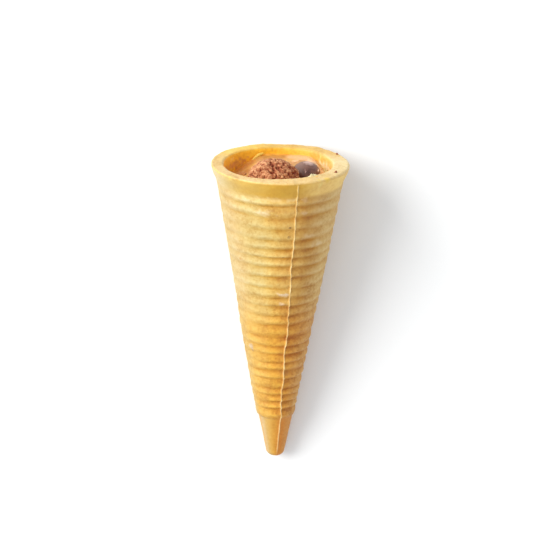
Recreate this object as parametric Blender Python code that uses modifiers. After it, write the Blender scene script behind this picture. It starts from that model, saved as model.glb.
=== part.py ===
"""Cream-filled wafer cone lying on its side, mouth toward +Y, resting on its lip and its lowest rings.

The cone is modelled upright in its own frame, tip at the origin and mouth at the top, and then laid down
by one empty. In that frame the side that ends up on top is -Y, and a depth is counted down from the mouth.
"""

import math

import bmesh
import bpy
from mathutils import Vector, noise

MM = 0.001

# wafer
LENGTH = 91.0 * MM  # mouth plane to the end of the tip
LIP_RADIUS = 20.0 * MM
LIP_EDGE = 0.6 * MM  # round-over of the lip's outer edge
MOUTH_RADIUS = 15.7 * MM
MOUTH_EDGE = 0.8 * MM  # round-over of the lip's inner edge
FLARE_DEPTH = 5.2 * MM  # the lip runs into the ringed body over this depth
BODY_TOP_RADIUS = 18.0 * MM
BODY_TOP_DEPTH = 7.0 * MM
BODY_END_RADIUS = 5.71 * MM
BODY_END_DEPTH = 76.7 * MM
WALL = 2.6 * MM
CAVITY_DEPTH = 81.6 * MM
CAVITY_END_RADIUS = 1.6 * MM
TURN_STEPS = 30

# rings moulded round the body
RING_COUNT = 24
FIRST_RING_DEPTH = 6.35 * MM
RING_SPAN = 70.25 * MM  # first crest to last
RING_CROWDING = 0.12  # rings stand closer together toward the tip
RING_RISE = 0.17 * MM
RING_FALL = 0.27 * MM
CREST_SHARE = 0.26  # share of the pitch that each shoulder of a crest takes
WAVERS = ((0.45 * MM, 1.163, -2.46), (0.44 * MM, 0.45, 0.68))  # size, turn per ring and start

# smooth tip under the last ring
STEP_DEPTH = 78.0 * MM
STEP_RADIUS = 5.0 * MM
TIP_RADIUS = 2.75 * MM
TIP_ROUND = 1.9 * MM  # the end is blunter than a half ball

# flash left along the mould's two parting lines
SEAM_AZIMUTH = math.radians(16)  # from the top side toward +X
SEAM_WIDTH = 0.5 * MM
SEAM_RISE = 0.35 * MM
SEAM_ROOT = 0.9 * MM

# filling
GAP = 0.3 * MM
CREAM_DEPTH = 2.4 * MM
CREAM_SAG = 2.6 * MM  # the cream falls away this far toward the two sides
CREAM_RINGS = 5

# what is pressed into the cream: right of the axis, above the axis, and depth
CEREAL_PLACE = Vector((-1.9, 4.8, 2.9)) * MM
CEREAL_RADII = Vector((7.45, 6.6, 5.4)) * MM
CEREAL_LUMP = 0.35 * MM
CHOCOLATE_PLACE = Vector((7.6, -2.4, 4.6)) * MM
CHOCOLATE_RADIUS = 4.4 * MM

# how it lies
FLAT_DEPTH = 0.25 * MM  # the resting spots are flattened this far
SLAB_SIZE = 0.2


def clear_scene():
    for obj in list(bpy.data.objects):
        bpy.data.objects.remove(obj, do_unlink=True)


def new_collection(name):
    collection = bpy.data.collections.new(name)
    bpy.context.scene.collection.children.link(collection)
    return collection


def add_object(name, data, collection, parent=None):
    obj = bpy.data.objects.new(name, data)
    collection.objects.link(obj)
    obj.parent = parent
    return obj


def surface(name, color, roughness):
    material = bpy.data.materials.new(name)
    material.use_nodes = True
    shader = material.node_tree.nodes["Principled BSDF"]
    shader.inputs["Base Color"].default_value = (*color, 1.0)
    shader.inputs["Roughness"].default_value = roughness
    shader.inputs["Metallic"].default_value = 0.0
    return material


def height(depth):
    """Height above the tip of a point this deep under the mouth."""
    return LENGTH - depth


def body_radius(depth):
    """Radius of the ringed body, halfway between its crests and grooves."""
    share = (depth - BODY_TOP_DEPTH) / (BODY_END_DEPTH - BODY_TOP_DEPTH)
    return BODY_TOP_RADIUS + share * (BODY_END_RADIUS - BODY_TOP_RADIUS)


def ring_depth(index):
    """Depth of a ring's crest: closer together toward the tip, and never quite even."""
    share = index / (RING_COUNT - 1)
    depth = FIRST_RING_DEPTH + RING_SPAN * (share + RING_CROWDING * share * (1 - share))
    for size, turn, start in WAVERS:
        depth += size * math.sin(turn * index + start)
    return depth


def arc(center_radius, center_depth, radius, start, end, count):
    """Points on an arc as (radius, depth); angle 0 points outward, and 90 degrees points to the mouth."""
    points = []
    for step in range(count + 1):
        angle = math.radians(start + (end - start) * step / count)
        points.append((center_radius + radius * math.cos(angle), center_depth - radius * math.sin(angle)))
    return points


def inner_radius(depth):
    """Radius of the cavity: nearly straight at the mouth, then parallel to the body."""
    straight_end = BODY_TOP_DEPTH
    if depth < straight_end:
        end_radius = body_radius(straight_end) - WALL
        return MOUTH_RADIUS + (end_radius - MOUTH_RADIUS) * depth / straight_end
    body_end = body_radius(BODY_END_DEPTH) - WALL
    share = (depth - straight_end) / (BODY_END_DEPTH - straight_end)
    top = body_radius(straight_end) - WALL
    return top + (body_end - top) * share


def cavity_profile(inset=0.0):
    """The cavity from its bottom up to just under the lip, moved inward by inset."""
    points = [(0.0, CAVITY_DEPTH - inset), (CAVITY_END_RADIUS * 0.7 - inset, CAVITY_DEPTH - 0.4 * MM - inset)]
    for depth in (CAVITY_DEPTH - 1.6 * MM, BODY_END_DEPTH - 4 * MM, BODY_TOP_DEPTH):
        points.append((max(inner_radius(depth), CAVITY_END_RADIUS) - inset, depth - inset))
    return points


def lip_profile():
    inner = arc(MOUTH_RADIUS + MOUTH_EDGE, MOUTH_EDGE, MOUTH_EDGE, 180, 90, 3)
    outer = arc(LIP_RADIUS - LIP_EDGE, LIP_EDGE, LIP_EDGE, 90, -25, 3)
    return inner + outer


def flare_profile():
    """S-shaped run from the lip's edge into the first ring."""
    top_radius = LIP_RADIUS - 0.12 * MM
    bottom_radius = body_radius(FLARE_DEPTH) + RING_RISE * 0.2
    top_depth = LIP_EDGE + 0.8 * MM
    points = []
    for step in range(3):
        share = step / 3
        blend = share * share * (3 - 2 * share)
        radius = top_radius + (bottom_radius - top_radius) * (0.4 * share + 0.6 * blend)
        points.append((radius, top_depth + (FLARE_DEPTH - top_depth) * share))
    return points


def rings_profile():
    points = []
    for index in range(RING_COUNT):
        crest = ring_depth(index)
        below = ring_depth(index + 1) - crest
        above = crest - ring_depth(index - 1)
        if index > 0:
            upper = crest - CREST_SHARE * above
            points.append((body_radius(upper) + RING_RISE, upper))
        lower = crest + CREST_SHARE * below
        points.append((body_radius(lower) + RING_RISE, lower))
        if index < RING_COUNT - 1:
            groove = crest + 0.5 * below
            points.append((body_radius(groove) - RING_FALL, groove))
    return points


def tip_profile():
    points = [(STEP_RADIUS, STEP_DEPTH)]
    for step in range(5):
        angle = math.radians(10 + 20 * step)
        points.append((TIP_RADIUS * math.cos(angle), LENGTH - TIP_ROUND * (1 - math.sin(angle))))
    return points


def turned_mesh(name, points):
    """Closed mesh of a profile from one point on the axis to another, turned about Z."""
    mesh = bpy.data.meshes.new(name)
    bm = bmesh.new()
    verts = [bm.verts.new((radius, 0.0, height(depth))) for radius, depth in points]
    for first, second in zip(verts, verts[1:]):
        bm.edges.new((first, second))
    bm.to_mesh(mesh)
    bm.free()
    return mesh


def add_screw(obj):
    screw = obj.modifiers.new("turn", "SCREW")
    screw.axis = "Z"
    screw.angle = math.tau
    screw.steps = TURN_STEPS
    screw.render_steps = TURN_STEPS
    screw.use_merge_vertices = True
    screw.merge_threshold = 0.01 * MM
    screw.use_smooth_shade = True


def baked(obj):
    """Replace the object's mesh with its evaluated one, and drop its modifiers."""
    bpy.context.view_layer.update()
    evaluated = obj.evaluated_get(bpy.context.evaluated_depsgraph_get())
    mesh = bpy.data.meshes.new_from_object(evaluated)
    obj.modifiers.clear()
    obj.data = mesh
    return obj


def shade(obj, degrees=40):
    obj.data.shade_smooth()
    obj.data.set_sharp_from_angle(angle=math.radians(degrees))


def add_boolean(obj, other, operation):
    boolean = obj.modifiers.new(f"{operation.lower()} {other.name}", "BOOLEAN")
    boolean.operation = operation
    boolean.object = other
    boolean.solver = "EXACT"


def make_helper(obj):
    obj.hide_render = True
    obj.display_type = "WIRE"


def seam_outline():
    """Outline of one flash fin as (radius, depth): proud of the crests outside, rooted in the wall inside."""
    proud = RING_RISE + SEAM_RISE
    outer = [
        (LIP_RADIUS - 1.5 * MM, 0.5 * MM),
        (LIP_RADIUS + 0.15 * MM, LIP_EDGE + 0.6 * MM),
        (body_radius(FLARE_DEPTH) + proud, FLARE_DEPTH),
        (body_radius(BODY_END_DEPTH) + proud - 0.1 * MM, BODY_END_DEPTH),
        (STEP_RADIUS + SEAM_RISE, STEP_DEPTH + 0.4 * MM),
        (TIP_RADIUS + 0.4 * MM, LENGTH - 2.4 * MM),
    ]
    root = [
        (TIP_RADIUS - 0.5 * MM, LENGTH - 2.2 * MM),
        (STEP_RADIUS - SEAM_ROOT, STEP_DEPTH + 0.4 * MM),
        (body_radius(BODY_END_DEPTH) - SEAM_ROOT, BODY_END_DEPTH),
        (body_radius(BODY_TOP_DEPTH) - SEAM_ROOT, BODY_TOP_DEPTH),
    ]
    return outer + root


def make_seam_fin(name, azimuth, collection, parent):
    """Flat outline extruded to the flash's width, stood in the plane of a parting line."""
    outline = seam_outline()
    curve = bpy.data.curves.new(name, "CURVE")
    curve.dimensions = "2D"
    curve.fill_mode = "BOTH"
    curve.extrude = SEAM_WIDTH / 2
    spline = curve.splines.new("POLY")
    spline.points.add(len(outline) - 1)
    spline.use_cyclic_u = True
    for point, (radius, depth) in zip(spline.points, outline):
        point.co = (radius, height(depth), 0.0, 1.0)
    drawn = add_object(name + "_outline", curve, collection)
    bpy.context.view_layer.update()
    evaluated = drawn.evaluated_get(bpy.context.evaluated_depsgraph_get())
    mesh = bpy.data.meshes.new_from_object(evaluated)
    bpy.data.objects.remove(drawn)
    bm = bmesh.new()
    bm.from_mesh(mesh)
    bmesh.ops.remove_doubles(bm, verts=bm.verts, dist=0.001 * MM)
    bmesh.ops.recalc_face_normals(bm, faces=bm.faces)
    bm.to_mesh(mesh)
    bm.free()
    fin = add_object(name, mesh, collection, parent)
    fin.rotation_euler = (math.pi / 2, 0.0, azimuth)
    make_helper(fin)
    return fin


def make_wafer(parts, cutters, pose):
    points = cavity_profile() + lip_profile() + flare_profile() + rings_profile() + tip_profile()
    cone = add_object("wafer_cone", turned_mesh("wafer_cone", points), parts, pose)
    add_screw(cone)
    baked(cone)
    shade(cone)
    cone.data.materials.clear()
    cone.data.materials.append(surface("wafer", (0.80, 0.52, 0.20), 0.75))
    top_side = -math.pi / 2
    for number in range(2):
        azimuth = top_side + SEAM_AZIMUTH + number * math.pi
        fin = make_seam_fin(f"seam_fin_{number + 1}", azimuth, cutters, pose)
        add_boolean(cone, fin, "UNION")
    return cone


def cream_level(x, y):
    """Depth of the cream's surface under the mouth: highest along the middle, low at the two sides."""
    side = min(abs(x) / MOUTH_RADIUS, 1.0)
    ripple = 0.12 * MM * noise.noise(Vector((x, y, 0.0)) / (5 * MM))
    return CREAM_DEPTH + CREAM_SAG * side**3 + ripple


def make_cream(parts, pose):
    side_top = CREAM_DEPTH
    rim_radius = inner_radius(side_top) - GAP
    points = cavity_profile(GAP)
    points.append((rim_radius, side_top))
    for step in range(CREAM_RINGS - 1, -1, -1):
        points.append((rim_radius * step / CREAM_RINGS, side_top))
    cream = add_object("cream", turned_mesh("cream", points), parts, pose)
    add_screw(cream)
    baked(cream)
    for vertex in cream.data.vertices:
        if vertex.co.z > height(side_top + 0.01 * MM):
            vertex.co.z = height(cream_level(vertex.co.x, vertex.co.y))
    shade(cream, 50)
    cream.data.materials.clear()
    cream.data.materials.append(surface("cream", (0.62, 0.36, 0.18), 0.4))
    return cream


def placed(place):
    """From right of the axis, above the axis and depth to the cone's own frame."""
    right, above, depth = place
    return Vector((right, -above, height(depth)))


def ball_mesh(name, radii, subdivisions, lump=0.0):
    mesh = bpy.data.meshes.new(name)
    bm = bmesh.new()
    bmesh.ops.create_icosphere(bm, subdivisions=subdivisions, radius=1.0)
    for vertex in bm.verts:
        direction = vertex.co.normalized()
        bulge = lump * (noise.noise(direction * 2.6) + 0.5 * noise.noise(direction * 6.0))
        vertex.co = Vector([axis * radius for axis, radius in zip(direction, radii)]) + direction * bulge
    bm.to_mesh(mesh)
    bm.free()
    return mesh


def make_ball(name, place, radii, material, parts, pose, subdivisions, lump=0.0):
    ball = add_object(name, ball_mesh(name, radii, subdivisions, lump), parts, pose)
    ball.location = placed(place)
    ball.data.materials.append(material)
    shade(ball, 60)
    return ball


def press_into(cream, ball, radii, clearance, cutters, pose):
    """Cut a socket for the ball into the cream, with a gap all round."""
    grown = Vector([radius + clearance for radius in radii])
    socket = add_object(ball.name + "_socket", ball_mesh("socket", grown, 3), cutters, pose)
    socket.location = ball.location
    make_helper(socket)
    add_boolean(cream, socket, "DIFFERENCE")


def box_corners(obj):
    """Lowest and highest corner of the object's evaluated mesh, in the world."""
    bpy.context.view_layer.update()
    evaluated = obj.evaluated_get(bpy.context.evaluated_depsgraph_get())
    points = [evaluated.matrix_world @ vertex.co for vertex in evaluated.data.vertices]
    low = Vector([min(point[axis] for point in points) for axis in range(3)])
    high = Vector([max(point[axis] for point in points) for axis in range(3)])
    return low, high


def lay_down(pose, cone):
    """Tilt the cone until its lip and its last ring touch the ground together, and centre it."""
    last_ring = ring_depth(RING_COUNT - 1) + CREST_SHARE * (ring_depth(RING_COUNT) - ring_depth(RING_COUNT - 1))
    drop = LIP_RADIUS - (body_radius(last_ring) + RING_RISE)
    slope = math.atan2(drop, last_ring - LIP_EDGE)
    pose.rotation_euler = (slope - math.pi / 2, 0.0, 0.0)
    low, high = box_corners(cone)
    pose.location = Vector((-(low.x + high.x) / 2, -(low.y + high.y) / 2, -low.z - FLAT_DEPTH))


def flatten_underside(cone, cutters):
    """Small flats where the lip and the last rings meet the ground."""
    bm = bmesh.new()
    bmesh.ops.create_cube(bm, size=SLAB_SIZE)
    mesh = bpy.data.meshes.new("ground")
    bm.to_mesh(mesh)
    bm.free()
    ground = add_object("ground", mesh, cutters)
    ground.location = (0.0, 0.0, -SLAB_SIZE / 2)
    make_helper(ground)
    add_boolean(cone, ground, "DIFFERENCE")


def main():
    clear_scene()
    parts = new_collection("cream_filled_wafer_cone")
    cutters = new_collection("cutters")
    pose = add_object("lying_pose", None, parts)
    cone = make_wafer(parts, cutters, pose)
    cream = make_cream(parts, pose)
    cereal = make_ball(
        "cereal_ball", CEREAL_PLACE, CEREAL_RADII, surface("cereal", (0.40, 0.16, 0.07), 0.85),
        parts, pose, 4, CEREAL_LUMP,
    )
    chocolate_radii = Vector((CHOCOLATE_RADIUS, CHOCOLATE_RADIUS, CHOCOLATE_RADIUS))
    chocolate = make_ball(
        "chocolate_ball", CHOCOLATE_PLACE, chocolate_radii, surface("chocolate", (0.13, 0.06, 0.05), 0.35),
        parts, pose, 4,
    )
    press_into(cream, cereal, CEREAL_RADII, CEREAL_LUMP + GAP, cutters, pose)
    press_into(cream, chocolate, chocolate_radii, GAP + 0.1 * MM, cutters, pose)
    lay_down(pose, cone)
    flatten_underside(cone, cutters)


main()
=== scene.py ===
from math import atan2, cos, hypot, pi, radians, sin, tau

import bmesh
import bpy
import numpy as np
from mathutils import Matrix, Vector


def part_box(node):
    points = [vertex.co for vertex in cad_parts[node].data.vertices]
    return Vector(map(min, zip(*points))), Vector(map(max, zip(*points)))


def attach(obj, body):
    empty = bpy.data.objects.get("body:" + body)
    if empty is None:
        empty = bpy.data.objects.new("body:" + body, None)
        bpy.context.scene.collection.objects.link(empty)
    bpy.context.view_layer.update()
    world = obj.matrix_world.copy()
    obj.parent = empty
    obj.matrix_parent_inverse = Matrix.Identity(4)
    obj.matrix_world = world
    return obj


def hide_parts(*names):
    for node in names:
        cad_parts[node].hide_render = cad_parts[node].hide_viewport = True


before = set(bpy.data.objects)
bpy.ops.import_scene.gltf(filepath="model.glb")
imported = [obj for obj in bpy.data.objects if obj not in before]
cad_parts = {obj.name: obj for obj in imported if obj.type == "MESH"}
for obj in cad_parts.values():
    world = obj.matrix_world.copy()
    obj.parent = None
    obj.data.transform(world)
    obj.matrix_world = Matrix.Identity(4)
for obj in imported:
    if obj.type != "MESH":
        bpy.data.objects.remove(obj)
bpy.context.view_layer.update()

print("frame loaded:", ", ".join(sorted(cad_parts)))

mm = 0.001

# the turned shape, as the solid has it; a depth is counted down from the mouth
cone = {
    "length": 91.0 * mm,
    "lipRadius": 20.0 * mm,
    "lipEdge": 0.6 * mm,
    "mouthRadius": 15.7 * mm,
    "mouthEdge": 0.8 * mm,
    "flareDepth": 5.2 * mm,
    "bodyTopRadius": 18.0 * mm,
    "bodyTopDepth": 7.0 * mm,
    "bodyEndRadius": 5.71 * mm,
    "bodyEndDepth": 76.7 * mm,
    "wall": 2.6 * mm,
    "cavityDepth": 81.6 * mm,
    "cavityEndRadius": 1.6 * mm,
    "stepDepth": 78.0 * mm,
    "stepRadius": 5.0 * mm,
    "tipRadius": 2.75 * mm,
    "tipRound": 1.9 * mm,
    "mouthShift": (-0.55 * mm, -0.3 * mm),  # the mouth is a little off the lip's middle
    "shiftDepths": (6, 34),  # and comes back to the middle between these depths
    "tipShift": 0.36 * mm,  # the tip bends a little toward +X
    "tipShiftFrom": 0.72,  # share of the length
}

# uneven parts: size of the noise in mm, strength and seed; directions: degrees from the top side
# toward +X; pairs of depths are in mm
rings = {
    "count": 24,
    "seed": 5,
    "firstDepth": 6.35 * mm,
    "span": 70.25 * mm,
    "crowding": 0.12,
    "wavers": ((0.45 * mm, 1.163, -2.46), (0.44 * mm, 0.45, 0.68)),
    "crestShare": 0.26,  # of the pitch, from a ring's place to its crest
    "rise": 0.17 * mm,
    "fall": 0.27 * mm,
    "steepSide": (0.36, 0.50),  # of the pitch, from a crest down to the next groove
    "ridge": 0.35,  # how straight the other side is
    "firstReach": 2 * mm,  # how far the first ring reaches toward the mouth
    "starts": (4.4, 6.0),  # the rings fade in between these depths
    "ends": (76.4, 77.4),  # and out between these
    "late": (1.0 * mm, 50, 26),  # so much lower round this direction, and its half width
    "heightSpread": 0.25,  # how much single rings differ
    "patches": (7, 0.8, 25),  # how much a ring fades and swells on its way round
    "wander": ((12, 0.30 * mm, 21), (4, 0.105 * mm, 22)),  # how the rings sway along the cone
    "ownWander": (8, 0.25 * mm, 24),  # and each ring by itself
    "ownScale": (9 * mm, 13 * mm),
    "grit": (2.4, 0.25, 26),
    "mouldShift": 0.14 * mm,  # the two mould halves don't meet exactly
    # how strongly the rings show: direction and strength
    "strength": ((-120, 0.5), (-85, 0.27), (-50, 0.33), (-22, 0.80), (0, 1.25), (18, 1.25), (35, 0.88),
                 (60, 0.42), (90, 0.48), (150, 0.8), (-150, 0.8)),
    # and how much stronger they get toward the tip, over these depths
    "tipward": ((-40, 1.0), (0, 1.0), (20, 1.15), (40, 1.7), (65, 1.6), (120, 1.0)),
    "tipwardDepths": (12, 55),
}

seam = {
    "azimuth": radians(16),  # from the top side toward +X; the other one is opposite
    "rise": 0.32 * mm,
    "onRings": 0.6,  # how much of a ring's height it follows
    "halfWidth": 0.17 * mm,
    "wander": ((7, 0.22 * mm, 11), (1.9, 0.11 * mm, 12)),
    "beads": (1.8, 0.45, 31),
    "starts": (0.0, 1.2),
    "ends": (87.5, 90.2),
    "flatter": 0.35,  # how much flatter it is on the tip
    "flatterDepths": (70, 80),
    "columns": np.array((0.0, 0.09, 0.18, 0.28, 0.42, 0.65)) * mm,  # beside it
}


def bodyRadius(depth):
    share = (depth - cone["bodyTopDepth"]) / (cone["bodyEndDepth"] - cone["bodyTopDepth"])
    return cone["bodyTopRadius"] + share * (cone["bodyEndRadius"] - cone["bodyTopRadius"])


def innerRadius(depth):
    bend = cone["bodyTopDepth"]
    bendRadius = bodyRadius(bend) - cone["wall"]
    nearMouth = cone["mouthRadius"] + (bendRadius - cone["mouthRadius"]) * depth / bend
    return np.where(depth < bend, nearMouth, bodyRadius(depth) - cone["wall"])


def ringDepth(index):
    share = index / (rings["count"] - 1)
    depth = rings["firstDepth"] + rings["span"] * (share + rings["crowding"] * share * (1 - share))
    for size, turn, start in rings["wavers"]:
        depth += size * sin(turn * index + start)
    return depth


# how the cone lies: its lip and its last ring touch the ground together
lastRing = ringDepth(rings["count"] - 1)
lastRing += rings["crestShare"] * (ringDepth(rings["count"]) - lastRing)
dropToLastRing = cone["lipRadius"] - bodyRadius(lastRing) - rings["rise"]
slope = atan2(dropToLastRing, lastRing - cone["lipEdge"])
outward = np.array((0.0, cos(slope), sin(slope)))  # from the tip to the mouth
upward = np.array((0.0, -sin(slope), cos(slope)))  # from the axis to the top side
rightward = np.array((1.0, 0.0, 0.0))
axes = np.stack((rightward, upward, outward))

coneLow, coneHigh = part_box("wafer_cone")
lipTube = cone["lipRadius"] - cone["lipEdge"]
mouthHeight = coneHigh.z - cone["lipEdge"] - lipTube * upward[2] + cone["lipEdge"] * outward[2]
tipReach = hypot(cone["tipRound"] * outward[1], cone["tipRadius"] * upward[1])
mouthAlong = coneLow.y + tipReach + (cone["length"] - cone["tipRound"]) * outward[1]
mouthCentre = np.array(((coneLow.x + coneHigh.x) / 2, mouthAlong, mouthHeight))


def toRow(right, above, depth):
    return mouthCentre + np.stack(np.broadcast_arrays(right, above, -depth), -1) @ axes


def toMouth(right, above, depth, share=1):
    # the same, with this share of the mouth's shift
    shiftRight, shiftAbove = cone["mouthShift"]
    return toRow(right + share * shiftRight, above + share * shiftAbove, depth)


def fromRow(point):
    right, above, out = axes @ (point - mouthCentre)
    return right, above, -out


def softNoise(points, size, seed):
    # smooth random values from -1 to 1
    cells = 32
    table = np.random.default_rng(seed).uniform(-1, 1, (cells, cells, cells))
    cell = np.floor(points / size).astype(int)
    part = points / size - cell
    part = part * part * (3 - 2 * part)
    total = 0.0
    for corner in range(8):
        side = np.array((corner & 1, corner >> 1 & 1, corner >> 2 & 1))
        weight = np.prod(np.where(side == 1, part, 1 - part), axis=-1)
        x, y, z = np.moveaxis((cell + side) % cells, -1, 0)
        total = total + weight * table[x, y, z]
    return total


def layered(points, *layers):
    return sum(strength * softNoise(points, size * mm, seed) for size, strength, seed in layers)


def smooth(low, high, value):
    share = np.clip((value - low) / (high - low), 0, 1)
    return share * share * (3 - 2 * share)


def fade(depths, depth):
    # from 0 to 1 between two depths in mm
    return smooth(depths[0] * mm, depths[1] * mm, depth)


def bump(value, middle, width):
    return np.exp(-((value - middle) / width) ** 2)


def newPiece(name, points, faces, material, marks=None):
    mesh = bpy.data.meshes.new(name)
    mesh.from_pydata(points, [], faces)
    mesh.shade_smooth()
    mesh.materials.append(material)
    shell = bmesh.new()
    shell.from_mesh(mesh)
    if shell.calc_volume(signed=True) < 0:
        mesh.flip_normals()  # all faces look outward
    shell.free()
    for mark, values in (marks or {}).items():
        values = np.asarray(values, np.float32)
        if values.ndim == 1:
            mesh.attributes.new(mark, "FLOAT", "POINT").data.foreach_set("value", values)
        else:
            shades = np.column_stack((values, np.ones(len(values), np.float32)))
            mesh.attributes.new(mark, "FLOAT_COLOR", "POINT").data.foreach_set("color", shades.ravel())
    piece = bpy.data.objects.new(name, mesh)
    bpy.context.scene.collection.objects.link(piece)
    return piece


def turnedFaces(rows, columns):
    # quads of a closed turned grid, and fans to the pole points that come after it
    here = np.arange(rows * columns).reshape(rows, columns)
    after = np.roll(here, -1, axis=1)
    quads = np.stack((here[:-1], after[:-1], after[1:], here[1:]), -1).reshape(-1, 4)
    pole = np.full(columns, rows * columns)
    fans = np.stack((pole, after[0], here[0], pole + 1, here[-1], after[-1]), -1).reshape(-1, 3)
    return quads.tolist() + fans.tolist()


def turnedPiece(name, grid, firstPole, lastPole, material, marks=None):
    rows, columns = grid.shape[:2]
    points = np.concatenate((grid.reshape(-1, 3), [firstPole, lastPole]))
    padded = {}
    for mark, values in (marks or {}).items():
        flat = values.reshape(rows * columns, *values.shape[2:])
        padded[mark] = np.concatenate((flat, [values[0, 0], values[-1, 0]]))
    return newPiece(name, points, turnedFaces(rows, columns), material, padded)


def sweptPiece(name, sections, material):
    # a closed bar through these sections
    grid = np.stack(sections, 1)
    return turnedPiece(name, grid, grid[0].mean(axis=0), grid[-1].mean(axis=0), material)


def colour(red, green, blue):
    # screen colour, 0 to 255, to the shader's linear one
    linear = []
    for value in (red, green, blue):
        value /= 255
        linear.append(value / 12.92 if value <= 0.04045 else ((value + 0.055) / 1.055) ** 2.4)
    return (*linear, 1.0)


def newMaterial(name, settings):
    material = bpy.data.materials.new(name)
    material.use_nodes = True
    shader = material.node_tree.nodes["Principled BSDF"]
    for socket, value in settings.items():
        shader.inputs[socket].default_value = value
    return material, material.node_tree, shader


def addNode(tree, kind, inputs=None, **settings):
    made = tree.nodes.new(kind)
    for key, value in settings.items():
        setattr(made, key, value)
    for socket, value in (inputs or {}).items():
        if isinstance(value, bpy.types.NodeSocket):
            tree.links.new(value, made.inputs[socket])
        else:
            made.inputs[socket].default_value = value
    return made


def objectPlace(tree):
    return addNode(tree, "ShaderNodeTexCoord").outputs["Object"]


def grain(tree, size, detail=3.0, roughness=0.55, distortion=0.0):
    # noise whose features are about this many mm wide
    inputs = {"Vector": objectPlace(tree), "Scale": 1 / (size * mm), "Detail": detail,
              "Roughness": roughness, "Distortion": distortion}
    return addNode(tree, "ShaderNodeTexNoise", inputs).outputs["Fac"]


def remap(tree, value, newLow, newHigh, low=0.3, high=0.7):
    inputs = {"Value": value, "From Min": low, "From Max": high, "To Min": newLow, "To Max": newHigh}
    return addNode(tree, "ShaderNodeMapRange", inputs).outputs["Result"]


def combine(tree, operation, first, second):
    return addNode(tree, "ShaderNodeMath", {0: first, 1: second}, operation=operation).outputs[0]


def weighed(tree, *parts):
    # sum of values, each with its weight
    total = 0.0
    for value, weight in parts:
        total = combine(tree, "ADD", total, combine(tree, "MULTIPLY", value, weight))
    return total


def mark(tree, name, output="Fac"):
    return addNode(tree, "ShaderNodeAttribute", attribute_name=name).outputs[output]


def ramp(tree, value, stops):
    made = addNode(tree, "ShaderNodeValToRGB", {"Fac": value})
    band = made.color_ramp
    while len(band.elements) < len(stops):
        band.elements.new(0.5)
    for element, (position, shade) in zip(band.elements, stops):
        element.position = position
        element.color = shade
    return made.outputs["Color"]


def blend(tree, share, first, second, mode="MIX"):
    return addNode(tree, "ShaderNodeMix", {0: share, 6: first, 7: second}, data_type="RGBA",
                   blend_type=mode).outputs[2]


def dress(tree, shader, base, height, distance, strength):
    # the shader's colour and its fine unevenness
    inputs = {"Height": height, "Distance": distance, "Strength": strength}
    tree.links.new(base, shader.inputs["Base Color"])
    tree.links.new(addNode(tree, "ShaderNodeBump", inputs).outputs["Normal"], shader.inputs["Normal"])


def spot(tree, base, where, ragged, radius, shade, strength):
    # a tinted patch round one place, with a ragged edge
    gap = addNode(tree, "ShaderNodeVectorMath", {0: objectPlace(tree), 1: tuple(where)}, operation="DISTANCE")
    edge = combine(tree, "ADD", gap.outputs["Value"], ragged)
    share = remap(tree, edge, 0.0, strength, radius * 1.5, radius * 0.5)
    return blend(tree, share, base, colour(*shade))


def tone(shade):
    return np.array(colour(*shade)[:3])


def tinted(shade, share, other):
    # baked shades moved by this share toward another colour
    return shade + share[..., None] * (other - shade)


def around(stops, degrees):
    # value at these directions, between stops that go round the cone
    return np.interp(degrees, *np.transpose(stops), period=360)


def roundColour(stops, degrees):
    parts = [[(turn, tone(shade)[part]) for turn, *shade in stops] for part in range(3)]
    return np.stack([around(part, degrees) for part in parts], -1)


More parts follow.
